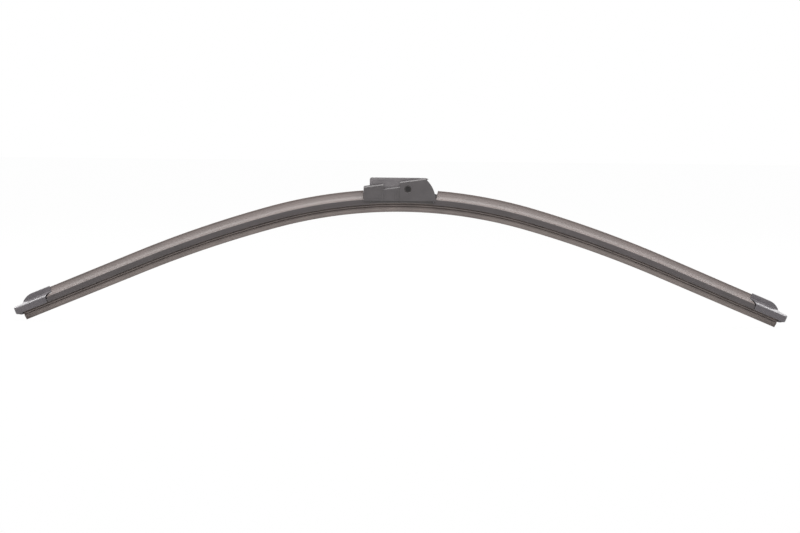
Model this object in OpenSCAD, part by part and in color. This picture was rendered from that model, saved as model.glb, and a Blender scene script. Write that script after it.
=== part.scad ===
// Flat wiper blade: a rubber wiping strip and two spring steel rails in one bent line,
// a clipped-on spoiler on each side of the arm connector, and a cap on each end.
// The arm's hooked end is held by an adapter that rocks on a cross pin.
// X runs along the blade, -Y is the side with the wind on it, +Z points away from the glass.

/* [Blade line] */
// Length from cap to cap, measured along the bent blade
blade_len = 650; // [450:10:750]
// Bend radius of the middle stretch, at the rails' middle plane
mid_radius = 380; // [320:10:600]
// Length of the middle stretch
mid_len = 206; // [160:2:240]
// Bend radius of the flatter stretch on each side of it
side_radius = 924; // [700:10:1400]
// Length of each flatter stretch, which a straight end follows
side_len = 114; // [60:2:120]

/* [Rails] */
// Width of one spring steel rail
rail_w = 4.0; // [3:0.1:5]
// Thickness of a rail
rail_t = 0.9; // [0.7:0.05:1.1]
// Gap between the two rails
rail_gap = 2.4; // [2:0.1:3]
// How far a rail's end stays back from the cap's nose
rail_end_back = 5.0; // [4:0.5:7]
// Chamfer on a rail's corners
rail_chamfer = 1.0; // [0.4:0.1:1.4]

/* [Wiping rubber] */
// Height of the rubber's head above the rails
head_h = 1.35; // [1:0.05:1.5]
// Half width of the head
head_half = 3.0; // [2.4:0.1:3.4]
// Half width of the flange under the rails
flange_half = 4.2; // [3.8:0.1:4.3]
// Half width of the body below the flange
body_half = 3.1; // [2.6:0.1:3.4]
// Depth of the body's lower face below the rails' middle plane
body_z = 4.4; // [4:0.1:5]
// Half width of the waist that lets the lip fold over
waist_half = 0.7; // [0.5:0.05:0.9]
// Height of the waist
waist_h = 0.9; // [0.7:0.05:1.2]
// Half width of the lip's shoulders
shoulder_half = 2.3; // [1.8:0.1:2.6]
// Height of the shoulders' upright side
shoulder_h = 0.7; // [0.5:0.05:1]
// Half thickness of the wiping edge
edge_half = 0.35; // [0.25:0.05:0.5]
// Depth of the wiping edge below the rails' middle plane
lip_z = 9.2; // [8.6:0.1:10.5]
// How far the rubber's end stays back from the cap's nose
rubber_end_back = 5.6; // [5.4:0.2:8]

/* [Spoilers] */
// Height of the spoiler's tip above the rails' middle plane, at the caps
tip_z = 8.5; // [7.6:0.1:9]
// How much higher the tip stands on the middle stretch
tip_rise = 0.8; // [0:0.1:1.4]
// Thickness of the tip's upright bead
tip_w = 1.0; // [0.8:0.1:1.4]
// Height of that bead
tip_h = 1.0; // [0.6:0.1:1.4]
// Half width over the claws
claw_half = 6.6; // [6.4:0.1:6.8]
// Height of the claws' upper edge
claw_top = 1.9; // [1.6:0.1:2.2]
// Depth of the claws' lower edge
claw_bottom = 1.6; // [1.5:0.1:1.8]
// Rise of the middle of the hollow face off its chord
face_sag = 1.0; // [0.6:0.1:1.4]
// Gap round the rails and the rubber, also between neighbours in line
seat_gap = 0.1; // [0.05:0.01:0.2]
// Gap between a spoiler and the part that it ends at
end_gap = 0.3; // [0.1:0.05:0.6]
// Lean of the right spoiler's inner end, in degrees
end_lean = 12; // [0:1:20]

/* [End caps] */
// Length of the cap's fin from the nose
fin_len = 32.8; // [28:0.2:36]
// Length of the cap's side walls from the nose
wall_len = 27.2; // [22:0.2:27.4]
// Height of the fin above the rails' middle plane
fin_z = 9.4; // [9:0.1:10]
// Half thickness of the fin at its top
fin_half = 1.0; // [0.8:0.1:1.2]
// Half thickness of the fin at its foot
fin_foot_half = 1.9; // [1.5:0.1:2.4]
// Distance of the fin's outer foot from the nose
fin_foot_x = 8.6; // [8:0.2:10]
// Height where the ledge meets the fin
ledge_z = 5.4; // [5.2:0.1:5.7]
// Height of the ledge's outer edge
ledge_edge_z = 3.3; // [3.1:0.1:3.6]
// Half width over the cap's side walls
cap_half = 7.1; // [6.9:0.1:7.4]
// Depth of the side walls' lower edge
cap_bottom = 2.1; // [1.9:0.1:2.3]
// Depth of the nose's chin, which covers the rubber's end
chin_z = 3.9; // [3.4:0.1:4.4]
// Height of the nose's crown
nose_top = 4.1; // [3.8:0.1:4.3]

/* [Rail bracket] */
// Sheet thickness of the pressed bracket
sheet_t = 1.0; // [0.8:0.1:1.1]
// Length of the bracket's channel on each side of the middle
bracket_half_len = 25; // [20:1:25]
// Length of an ear along the blade
ear_len = 12; // [10:0.5:16]
// Distance of the ears' outer faces from the middle plane
ear_half = 6.85; // [6.7:0.05:7.2]

/* [Pivot] */
// Distance of the pivot from the middle of the blade
pivot_x = 4.7; // [2:0.1:6]
// Height of the pivot above the rails' middle plane
pivot_z = 9.5; // [9.3:0.1:10.2]
// Diameter of the cross pin
pin_d = 4.0; // [3.6:0.1:4.4]
// Radial running gap of the adapter on the pin
pin_gap = 0.05; // [0.02:0.01:0.1]

/* [Connector cover] */
// Distance of the cover's left end from the middle of the blade
cover_left = 30.6; // [30:0.2:34]
// Distance of the cover's right end from the middle of the blade
cover_right = 27.2; // [26.4:0.2:27.8]
// Half width over the cover
cover_half = 8.4; // [8.2:0.1:9]
// Gap between the cover's walls and the ears
cover_gap = 0.1; // [0.05:0.05:0.2]
// Depth of the recess between the end block and the pivot block
recess_d = 0.5; // [0.3:0.1:0.7]
// Height of the walls' lower edge at the middle of the blade
wall_foot_z = 0.1; // [0:0.1:0.8]
// Height of the lower edge of the hood and of the end wall between the walls
cover_foot_z = 1.9; // [1.9:0.1:2.1]
// Length of the end block
block_len = 16; // [14:0.5:18]
// Height of the end block's top at its outer end
block_z0 = 11.4; // [11:0.1:12]
// Height of the end block's top at its inner end
block_z1 = 13.6; // [13:0.1:14]
// Distance of the pivot block's step from the middle of the blade
step_x = 1.8; // [1:0.1:3]
// Height of the recess's top at the end block
recess_z0 = 9.8; // [9.4:0.1:10.2]
// Height of the recess's top at the pivot block
recess_z1 = 11.7; // [11.2:0.1:12]
// Height of the pivot block's top at the step
pivot_top_z0 = 15.5; // [15:0.1:16]
// Height of the pivot block's top at the hood
pivot_top_z1 = 18.3; // [17.9:0.1:18.6]
// Distance from the middle of the blade to the hood's top edge
hood_x = 19.8; // [19.2:0.1:20.4]
// Thickness of the hood
hood_t = 1.5; // [1.2:0.1:1.8]
// Bevel along the tops of the walls
top_bevel = 1.0; // [0.6:0.1:1.1]
// Diameter of the hole that shows the end of the pin
sight_hole_d = 5.2; // [4.8:0.1:6]
// Height of the floor between the walls
floor_z = 2.95; // [2.9:0.05:3.2]
// Rise of the bare panel on the end block and of the rib in the recess
panel_rise = 0.25; // [0.1:0.05:0.4]
// Border round the bare panel
panel_edge = 2.0; // [1:0.1:3]
// Distance of the recess's rib from the middle of the blade
rib_x = 5.2; // [4:0.1:11]
// Width of that rib
rib_w = 1.4; // [0.8:0.1:2]

/* [Arm adapter] */
// Distance of the adapter's tail from the middle of the blade
tail_x = 25.8; // [24:0.2:27]
// Half width over the adapter's cheeks
adapter_half = 5.5; // [5.4:0.05:5.6]
// Width of the arm strip that lies between the cheeks
strip_w = 9.0; // [8.8:0.1:9]
// Side clearance of the strip on each side
strip_gap = 0.1; // [0.05:0.05:0.15]
// Radius of the saddle that the arm's hook goes round
saddle_r = 4.0; // [3.6:0.1:4.2]
// Height of the cheeks' top
cheek_z = 18.4; // [18:0.1:18.8]
// Reach of the cheeks round the pivot
cheek_r = 12.5; // [11.5:0.1:13]
// Thickness of the saddle's floor
web_t = 2.0; // [1.6:0.1:2.4]
// Rounding of the tail's upper corners
tail_round = 1.6; // [1:0.1:2]
// Depth of the shallow field on the outside of each cheek
field_d = 0.2; // [0.1:0.05:0.4]
// Border between that field and the cheek's edges
field_edge = 2.2; // [1.5:0.1:3]
// Length of the spring tongue that is slit out of the floor
tongue_len = 12; // [8:0.5:13]
// Width of the tongue
tongue_w = 4.6; // [3:0.1:6]
// Width of the slit round it
slit_w = 0.8; // [0.5:0.1:1.2]

/* [Hidden] */

rubber_black = [0.16, 0.15, 0.15];
spoiler_black = [0.27, 0.25, 0.24];
cap_black = [0.22, 0.22, 0.24];
cover_black = [0.19, 0.18, 0.19];
adapter_black = [0.24, 0.23, 0.24];
steel_grey = [0.55, 0.56, 0.58];

// Facet counts of the bracket's bend and of small rounds
bend_fn = 720;
round_fn = 96;
// Spacing of the rings that carry a section, on the tighter and on the flatter bend
mid_step = 10;
side_step = 16;
// Reach of a cut past the solid that it goes through
over = 5;

// Stations along the blade and the angles of its line there
half_len = blade_len / 2;
mid_end = mid_len / 2;
side_end = mid_end + side_len;
mid_angle = mid_end / mid_radius * 180 / PI;
end_angle = mid_angle + side_len / side_radius * 180 / PI;

// Centres of the two bends and the start of the straight end, as X and Z
mid_centre = [0, -mid_radius];
side_centre = mid_centre + (mid_radius - side_radius) * [sin(mid_angle), cos(mid_angle)];
straight_start = side_centre + side_radius * [sin(end_angle), cos(end_angle)];
straight_len = half_len - side_end;
blade_tip = straight_start + straight_len * [cos(end_angle), -sin(end_angle)];

rail_in = rail_gap / 2;
rail_out = rail_in + rail_w;
slot_out = rail_out + seat_gap;
slot_z = rail_t / 2 + seat_gap;
head_z = rail_t / 2 + head_h;
rubber_end = half_len - rubber_end_back;
rail_end = half_len - rail_end_back;
seat_z = pivot_z + saddle_r;

// The frame's origin is on the adapter's floor above the middle of the blade
module at_seat() {
    translate([0, 0, -seat_z])
        children();
}

// Angle of the blade's line below level at a station, which is its length from the middle
function slope_at(s) =
    let (a = abs(s))
    sign(s) * (
        a < mid_end ? a / mid_end * mid_angle
        : a < side_end ? mid_angle + (a - mid_end) / side_len * (end_angle - mid_angle)
        : end_angle
    );

// X and Z of the line at a station on the right half
function right_point(s) =
    s < mid_end ? mid_centre + mid_radius * [sin(slope_at(s)), cos(slope_at(s))]
    : s < side_end ? side_centre + side_radius * [sin(slope_at(s)), cos(slope_at(s))]
    : straight_start + (s - side_end) * [cos(end_angle), -sin(end_angle)];

// X and Z at a height above the line, square to it
function line_at(s, z) =
    let (p = right_point(abs(s)), a = slope_at(s))
    [sign(s) * p[0], p[1]] + z * [sin(a), cos(a)];

// Stations of the rings on the right half, evenly spaced on each bend
mid_rings = ceil(mid_end / mid_step);
side_rings = ceil(side_len / side_step);
right_rings = concat(
    [for (i = [1 : mid_rings]) mid_end * i / mid_rings],
    [for (i = [1 : side_rings]) mid_end + side_len * i / side_rings]
);
all_rings = concat([for (i = [len(right_rings) - 1 : -1 : 0]) -right_rings[i]], [0], right_rings);
// Least distance of a ring from an end, which a leaning end doesn't reach
ring_min = 3.5;
// Level top of the claws where they go on under the cover
low_z = claw_top + 0.5;

// The stations of the rings between two stations, with both of them
function stations(from, to) = concat(
    [from],
    [for (s = all_rings) if (s > from + ring_min && s < to - ring_min) s],
    [to]
);

// A section of points as width and height, placed at a station. What stands above the claws
// may lean along the line by an angle
function ring(section, s, lean = 0) = [
    for (q = section)
        let (p = line_at(s + max(0, q[1] - low_z) * tan(lean), q[1]))
        [p[0], q[0], p[1]]
];

// A solid through rings with the same number of points
module skin(rings) {
    n = len(rings[0]);
    last = (len(rings) - 1) * n;
    polyhedron(
        points = [for (r = rings) for (q = r) q],
        faces = concat(
            [[for (j = [n - 1 : -1 : 0]) j]],
            [
                for (i = [0 : len(rings) - 2])
                    for (j = [0 : n - 1])
                        let (k = (j + 1) % n)
                        [i * n + j, i * n + k, (i + 1) * n + k, (i + 1) * n + j]
            ],
            [[for (j = [0 : n - 1]) last + j]]
        )
    );
}

// Both halves of a symmetric section, from the points of its right half
function symmetric(half) = concat(half, [for (i = [len(half) - 1 : -1 : 0]) [-half[i][0], half[i][1]]]);

// A width and height section carried straight along X
module along_x(length) {
    rotate([90, 0, 90])
        linear_extrude(length)
            children();
}

// A side view carried across the blade, centred
module across(width) {
    rotate([90, 0, 0])
        linear_extrude(width, center = true)
            children();
}

// A side view carried across from one distance of the middle plane to another, rear side
module across_between(near, far) {
    translate([0, far, 0])
        rotate([90, 0, 0])
            linear_extrude(far - near)
                children();
}

// The right end's own frame: origin at the nose, X outward along the blade
module at_tip() {
    translate([blade_tip[0], 0, blade_tip[1]])
        rotate([0, end_angle, 0])
            children();
}

// Lower outline of the lip: a hollow taper from the shoulder to the wiping edge
function lip_curve(steps) = [
    for (i = [0 : steps])
        let (t = i / steps, top = body_z + waist_h + shoulder_h, w = shoulder_half - edge_half)
        [edge_half + w * pow(1 - t, 1.6), -top - (lip_z - top - edge_half) * t]
];

rubber_half = concat(
    [
        [head_half - 0.3, head_z],
        [head_half, head_z - 0.3],
        [head_half, slot_z],
        [rail_in - seat_gap, slot_z],
        [rail_in - seat_gap, -slot_z],
        [flange_half, -slot_z],
        [flange_half, -claw_bottom],
        [body_half, -claw_bottom - 0.7],
        [body_half, -body_z + 0.3],
        [body_half - 0.3, -body_z],
        [waist_half, -body_z],
        [waist_half, -body_z - waist_h],
        [shoulder_half, -body_z - waist_h]
    ],
    lip_curve(6)
);

module wiper_rubber() {
    section = symmetric(rubber_half);
    color(rubber_black)
        at_seat()
            skin([for (s = stations(-rubber_end, rubber_end)) ring(section, s)]);
}

// Section of the rear rail, narrower by the same measure on both edges
function rail_section(less) = [
    [rail_out - less, rail_t / 2],
    [rail_out - less, -rail_t / 2],
    [rail_in + less, -rail_t / 2],
    [rail_in + less, rail_t / 2]
];

// The rear rail, with its corners cut off at both ends
module rail() {
    full_end = rail_end - rail_chamfer;
    color(steel_grey)
        at_seat()
            skin(concat(
                [ring(rail_section(rail_chamfer), -rail_end)],
                [for (s = stations(-full_end, full_end)) ring(rail_section(0), s)],
                [ring(rail_section(rail_chamfer), rail_end)]
            ));
}

module rail_front() {
    mirror([0, 1, 0])
        rail();
}

module rail_rear() {
    rail();
}

// Centre and radius of the circle that hollows the spoiler's face
face_a = [tip_w / 2, tip_z - tip_h];
face_b = [claw_half - 0.4, low_z];
face_chord = norm(face_b - face_a);
face_r = (face_chord * face_chord / 4 + face_sag * face_sag) / (2 * face_sag);
face_out = [face_a[1] - face_b[1], face_b[0] - face_a[0]] / face_chord;
face_centre = (face_a + face_b) / 2 + face_out * (face_r - face_sag);
face_from = atan2(face_a[1] - face_centre[1], face_a[0] - face_centre[0]);
face_to = atan2(face_b[1] - face_centre[1], face_b[0] - face_centre[0]);

face_steps = 7;
hollow_face = [
    for (i = [0 : face_steps])
        let (a = face_from + (face_to - face_from) * i / face_steps)
        face_centre + face_r * [cos(a), sin(a)]
];

spoiler_half = concat(
    [
        [tip_w / 2 - 0.2, tip_z],
        [tip_w / 2, tip_z - 0.2]
    ],
    hollow_face,
    [
        [claw_half, claw_top],
        [claw_half, -claw_bottom + 0.5],
        [claw_half - 0.5, -claw_bottom],
        [flange_half + 0.2, -claw_bottom],
        [flange_half + 0.2, -slot_z],
        [slot_out, -slot_z],
        [slot_out, slot_z],
        [head_half + seat_gap, slot_z],
        [head_half + seat_gap, head_z + seat_gap]
    ]
);

// Rise of the tip at a station: full on the middle stretch, from where it falls to none at the cap
spoiler_end = half_len - wall_len;

function rise_at(s) = tip_rise * min(1, (spoiler_end - s) / (spoiler_end - mid_end));

// The spoiler's section at a station, stretched above the claws by the tip's rise
function spoiler_section(s) = symmetric([
    for (q = spoiler_half)
        [q[0], q[1] + rise_at(s) * max(0, q[1] - claw_top) / (tip_z - claw_top)]
]);

// The section under the cover: the points from the tip to the face's foot lie level in a row
row_from = tip_w / 2 - 0.2;
row_last = face_steps + 2;
under_section = symmetric([
    for (i = [0 : len(spoiler_half) - 1])
        i > row_last ? spoiler_half[i] : [row_from + (face_b[0] - row_from) * i / row_last, low_z]
]);

// Side view of the edge in which a spoiler ends under the cap's fin, in the tip's frame
notch_x = -wall_len - 0.8;
notch_edge = [
    [-fin_len - seat_gap, ledge_z - 1.4],
    [notch_x - 2.4, ledge_z - 1.8],
    [notch_x - 0.7, ledge_z - 2.6],
    [notch_x, ledge_z - 3.9]
];

// Side view of what the end cap takes from the spoiler's outer end
module cap_notch() {
    polygon(concat(
        [[-fin_len - seat_gap, fin_z + over]],
        notch_edge,
        [
            [notch_x, -cap_bottom - over],
            [0, -cap_bottom - over],
            [0, fin_z + over]
        ]
    ));
}

// A spoiler on the right half, whose claws go on under the cover as far as the rail bracket.
// A short slope leads from their level top into its upright end
module spoiler(cover_end, lean) {
    slope_len = 0.4;
    under_from = bracket_half_len + end_gap;
    full_from = max(cover_end, bracket_half_len + 1) + end_gap;
    color(spoiler_black)
        at_seat()
            difference() {
                skin(concat(
                    [
                        ring(under_section, under_from),
                        ring(under_section, full_from - slope_len),
                        ring(spoiler_section(full_from), full_from, lean - slope_at(full_from))
                    ],
                    [
                        for (s = stations(full_from, spoiler_end))
                            if (s > full_from) ring(spoiler_section(s), s)
                    ]
                ));
                at_tip()
                    across(4 * claw_half)
                        cap_notch();
            }
}

module spoiler_left() {
    mirror([1, 0, 0])
        spoiler(cover_left, 0);
}

module spoiler_right() {
    spoiler(cover_right, end_lean);
}

// Level stretch of the fin's top, and the radius of the curve that it falls away in
fin_flat = 15;
fin_run = fin_len - fin_foot_x - fin_flat;
fin_r = (fin_run * fin_run + pow(fin_z - ledge_z, 2)) / (2 * (fin_z - ledge_z));
fin_sweep = asin(fin_run / fin_r);
nose_r = 1.7;

function fin_curve(steps) = [
    for (i = [0 : steps])
        let (a = fin_sweep * i / steps)
        [-fin_len + fin_flat + fin_r * sin(a), fin_z - fin_r + fin_r * cos(a)]
];

// Side view of the right end cap in the tip's frame: fin, blunt nose with a chin, and side
// walls that are cut back in a curve below the fin
module cap_profile() {
    polygon(concat(
        [[-fin_len, fin_z]],
        fin_curve(10),
        [
            [-fin_foot_x + 1.4, nose_top + 0.3],
            [-nose_r, nose_top],
            [-nose_r * 0.3, nose_top - nose_r * 0.3],
            [0, nose_top - nose_r],
            [0, -0.7],
            [-0.4, -1.5],
            [-3.6, -chin_z + 0.4],
            [-rubber_end_back + 0.3, -chin_z],
            [-rubber_end_back + 0.3, -cap_bottom],
            [-wall_len, -cap_bottom],
            [-wall_len, ledge_z - 3.5],
            [-wall_len - 0.6, ledge_z - 2.1],
            [-wall_len - 2.2, ledge_z - 1.1],
            [-fin_len, ledge_z - 0.4]
        ]
    ));
}

cap_half_section = [
    [fin_half - 0.3, fin_z],
    [fin_half, fin_z - 0.3],
    [fin_foot_half, ledge_z],
    [fin_foot_half + 0.5, ledge_z - 0.3],
    [cap_half - 0.6, ledge_edge_z],
    [cap_half, ledge_edge_z - 0.6],
    [cap_half, -cap_bottom + 0.5],
    [cap_half - 0.5, -cap_bottom],
    [flange_half + 0.2, -cap_bottom],
    [flange_half - 0.4, -chin_z]
];

// Side view of the core that fills the fin's foot down to just above the spoiler
core_half = fin_foot_half - 0.3;

module core_view() {
    polygon(concat(
        [[-fin_len, ledge_z]],
        [for (p = notch_edge) p + [seat_gap, 2 * seat_gap]],
        [
            [-wall_len + 1, ledge_z - 3.7],
            [-wall_len + 1, ledge_z]
        ]
    ));
}

// Plan view that rounds the nose
module cap_plan() {
    corner_r = 3.4;
    difference() {
        translate([-fin_len - 1, -cap_half - 1])
            square([fin_len + 2, 2 * cap_half + 2]);
        for (side = [0, 1])
            mirror([0, side])
                translate([-corner_r, cap_half - corner_r])
                    difference() {
                        square(2 * corner_r);
                        circle(corner_r, $fn = round_fn);
                    }
    }
}

module end_cap() {
    difference() {
        union() {
            intersection() {
                translate([-fin_len, 0, 0])
                    along_x(fin_len)
                        polygon(symmetric(cap_half_section));
                across(2 * cap_half + over)
                    cap_profile();
                translate([0, 0, -over])
                    linear_extrude(fin_z + 2 * over)
                        cap_plan();
            }
            across(2 * core_half)
                core_view();
        }
        // Slot for the rails
        translate([-fin_len - over, -slot_out, -slot_z])
            cube([fin_len + over - rail_end_back + seat_gap, 2 * slot_out, 2 * slot_z]);
        // Pocket for the rubber, open below
        translate([-fin_len - over, -flange_half - seat_gap, -chin_z - over])
            cube([
                fin_len + over - rubber_end_back + seat_gap,
                2 * (flange_half + seat_gap),
                chin_z + over + head_z + seat_gap
            ]);
    }
}

module end_cap_right() {
    color(cap_black)
        at_seat()
            at_tip()
                end_cap();
}

module end_cap_left() {
    color(cap_black)
        at_seat()
            mirror([1, 0, 0])
                at_tip()
                    end_cap();
}

// Pressed channel that grips the rails, bent under them on both sides
plate_z = head_z + seat_gap;

module bracket_section() {
    outer = slot_out + sheet_t;
    difference() {
        polygon(symmetric([
            [outer - 0.7, plate_z + sheet_t],
            [outer, plate_z + sheet_t - 0.7],
            [outer, -slot_z - sheet_t + 0.5],
            [outer - 0.5, -slot_z - sheet_t]
        ]));
        polygon(symmetric([
            [slot_out - 0.6, plate_z],
            [slot_out, plate_z - 0.6],
            [slot_out, -slot_z],
            [flange_half + 0.2, -slot_z],
            [flange_half + 0.2, -slot_z - sheet_t - 1]
        ]));
    }
}

// A section carried round the middle bend, to the same length on both sides
module bend(length) {
    angle = length / mid_radius * 180 / PI;
    translate([0, 0, -mid_radius])
        rotate([90, 0, 0])
            rotate_extrude(angle = 2 * angle, start = 90 - angle, $fn = bend_fn)
                translate([mid_radius, 0])
                    rotate(-90)
                        children();
}

// Side view of one ear, round about the pivot
module ear_view() {
    translate([pivot_x, pivot_z])
        circle(ear_len / 2 - 1.4, $fn = round_fn);
    polygon([
        [pivot_x - ear_len / 2, head_z],
        [pivot_x - ear_len / 2 + 1.4, pivot_z],
        [pivot_x + ear_len / 2 - 1.4, pivot_z],
        [pivot_x + ear_len / 2, head_z]
    ]);
}

module rail_bracket() {
    color(steel_grey)
        at_seat()
            difference() {
                union() {
                    bend(bracket_half_len)
                        bracket_section();
                    for (side = [0, 1])
                        mirror([0, side, 0]) {
                            across_between(ear_half - sheet_t, ear_half)
                                ear_view();
                            // Foot that joins the ear to the channel's plate
                            translate([pivot_x - ear_len / 2, slot_out - 1, plate_z])
                                cube([ear_len, ear_half - slot_out + 1, sheet_t]);
                        }
                }
                pivot_bore(pin_d / 2, 2 * ear_half + over);
            }
}

// A round hole or shaft on the pivot's axis
module pivot_bore(radius, length) {
    translate([pivot_x, 0, pivot_z])
        rotate([90, 0, 0])
            cylinder(h = length, r = radius, center = true, $fn = round_fn);
}

module pivot_pin() {
    color(steel_grey)
        at_seat()
            pivot_bore(pin_d / 2, 2 * ear_half);
}

// A point at t on the curve that four corner points guide
function guided(c, t) =
    pow(1 - t, 3) * c[0] + 3 * pow(1 - t, 2) * t * c[1] + 3 * (1 - t) * t * t * c[2] + t * t * t * c[3];

// Guides of the hood's outer face: a slope that turns upright towards its foot
hood_guides = [
    [hood_x - 0.3, pivot_top_z1 - 1.1],
    [hood_x + 2.6, pivot_top_z1 - 3.9],
    [cover_right - 0.3, pivot_z - 0.3],
    [cover_right, wall_foot_z]
];

// Side view of the whole cover
module cover_view() {
    polygon(concat(
        [
            [-cover_left, wall_foot_z],
            [-cover_left, block_z0],
            [-cover_left + block_len, block_z1],
            [-cover_left + block_len, recess_z0],
            [-step_x, recess_z1],
            [-step_x, pivot_top_z0],
            [hood_x - 1.2, pivot_top_z1]
        ],
        [for (i = [0 : 14]) guided(hood_guides, i / 14)]
    ));
}

// Strip of the side view that makes the recessed stretch
module recess_view() {
    translate([-cover_left + block_len, wall_foot_z - over])
        square([cover_left - block_len - step_x, pivot_top_z1]);
}

// Side view of the raised bare panel on the end block
module panel_view() {
    x0 = -cover_left + panel_edge;
    x1 = -cover_left + block_len - panel_edge;
    top = top_bevel + panel_edge / 2;
    polygon([
        [x0, wall_foot_z + panel_edge],
        [x0, block_z0 - top],
        [x1, block_z1 - top],
        [x1, wall_foot_z + panel_edge]
    ]);
}

// Side view of the upright rib in the recess
module rib_view() {
    translate([-rib_x - rib_w / 2, wall_foot_z + 0.6])
        square([rib_w, recess_z0 - wall_foot_z - top_bevel - 1]);
}

// Bevel along a straight top edge of the rear wall, which goes on past both ends by a reach
module edge_bevel(from, to, outer, reach) {
    slope = atan2(to[1] - from[1], to[0] - from[0]);
    translate([from[0], outer, from[1]])
        rotate([0, -slope, 0])
            translate([-reach, 0, 0])
                along_x(norm(to - from) + 2 * reach)
                    polygon([[-top_bevel, 1], [-top_bevel, 0], [0, -top_bevel], [1, -top_bevel], [1, 1]]);
}

module cover_wall() {
    inner = ear_half + cover_gap;
    difference() {
        across_between(inner, cover_half)
            cover_view();
        across_between(cover_half - recess_d, cover_half + over)
            recess_view();
        edge_bevel([-cover_left, block_z0], [-cover_left + block_len, block_z1], cover_half, top_bevel);
        edge_bevel([-cover_left + block_len, recess_z0], [-step_x, recess_z1], cover_half - recess_d, 0);
        edge_bevel([-step_x, pivot_top_z0], [hood_x - 1.2, pivot_top_z1], cover_half, top_bevel);
    }
    across_between(inner + 0.3, cover_half + panel_rise)
        panel_view();
    across_between(inner + 0.3, cover_half - recess_d + panel_rise)
        rib_view();
}

module connector_cover() {
    inner = ear_half + cover_gap;
    color(cover_black)
        at_seat()
            difference() {
                union() {
                    for (side = [0, 1])
                        mirror([0, side, 0])
                            cover_wall();
                    // Hood between the walls
                    across(2 * inner + 0.2)
                        intersection() {
                            difference() {
                                cover_view();
                                translate([-hood_t, -hood_t * 0.75])
                                    cover_view();
                            }
                            translate([hood_x, cover_foot_z])
                                square([cover_right, pivot_top_z1]);
                        }
                    // Floor and end wall
                    translate([-cover_left, -inner - 0.1, floor_z])
                        cube([cover_left - 10, 2 * inner + 0.2, sheet_t]);
                    translate([-cover_left, -inner - 0.1, cover_foot_z])
                        cube([hood_t, 2 * inner + 0.2, 8]);
                }
                pivot_bore(sight_hole_d / 2, 2 * cover_half + over);
            }
}

// Side view of a cheek: a level top, a nose round the pivot and a tail that is cut back below
module cheek_view() {
    intersection() {
        difference() {
            polygon([
                [-tail_x, pivot_z + 1.8],
                [-tail_x, cheek_z],
                [pivot_x + cheek_r, cheek_z],
                [pivot_x + cheek_r, pivot_z - 1.8],
                [pivot_x + saddle_r + 0.3, pivot_z - saddle_r - 0.4],
                [pivot_x - saddle_r - 2.7, pivot_z - saddle_r - 0.4],
                [-14, pivot_z + 0.2]
            ]);
            translate([-tail_x, cheek_z])
                tail_corner();
        }
        union() {
            translate([pivot_x, pivot_z])
                circle(cheek_r, $fn = round_fn);
            translate([-tail_x - 1, 0])
                square([tail_x + 1 + pivot_x, cheek_z + 1]);
        }
    }
}

// What rounding the tail's upper corner takes away
module tail_corner() {
    difference() {
        translate([-1, -tail_round])
            square([tail_round + 1, tail_round + 1]);
        translate([tail_round, -tail_round])
            circle(tail_round, $fn = round_fn);
    }
}

// Side view of the web between the cheeks: the floor and the saddle round the pin
module saddle_view() {
    translate([pivot_x, pivot_z])
        circle(saddle_r, $fn = round_fn);
    polygon([
        [-tail_x, seat_z - web_t],
        [-tail_x, seat_z],
        [pivot_x, seat_z],
        [pivot_x, pivot_z - saddle_r],
        [pivot_x - saddle_r - 1.5, pivot_z - saddle_r],
        [-9, seat_z - web_t]
    ]);
}

// Side view of the shallow field in a cheek's outside
module field_view() {
    polygon([
        [-tail_x + field_edge, seat_z - web_t / 2],
        [-tail_x + field_edge, cheek_z - field_edge],
        [-step_x - field_edge, cheek_z - field_edge],
        [-step_x - field_edge - 2, seat_z - web_t / 2]
    ]);
}

// U-shaped slit that frees the tongue on three sides
module tongue_slit() {
    x0 = -tail_x + field_edge;
    z0 = seat_z - web_t - 1;
    for (side = [-1, 1])
        translate([x0, side * (tongue_w + slit_w) / 2 - slit_w / 2, z0])
            cube([tongue_len, slit_w, web_t + 2]);
    translate([x0, -tongue_w / 2 - slit_w / 2, z0])
        cube([slit_w, tongue_w + slit_w, web_t + 2]);
}

module arm_adapter() {
    cheek_in = strip_w / 2 + strip_gap;
    color(adapter_black)
        at_seat()
            difference() {
                union() {
                    across(2 * cheek_in + 0.2)
                        saddle_view();
                    for (side = [0, 1])
                        mirror([0, side, 0])
                            across_between(cheek_in, adapter_half)
                                cheek_view();
                }
                pivot_bore(pin_d / 2 + pin_gap, 2 * adapter_half + over);
                for (side = [0, 1])
                    mirror([0, side, 0])
                        across_between(adapter_half - field_d, adapter_half + over)
                            field_view();
                tongue_slit();
            }
}

wiper_rubber();
rail_front();
rail_rear();
spoiler_left();
spoiler_right();
end_cap_left();
end_cap_right();
rail_bracket();
pivot_pin();
connector_cover();
arm_adapter();
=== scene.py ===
"""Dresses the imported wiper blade: its rubber, spoilers, caps and connector as finished pieces,
their materials, and the studio that the blade stands in."""

from math import cos, radians, sin

import bmesh
import bpy
import numpy as np
from bpy.props import FloatProperty, FloatVectorProperty, IntProperty, PointerProperty
from mathutils import Matrix, Vector


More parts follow.
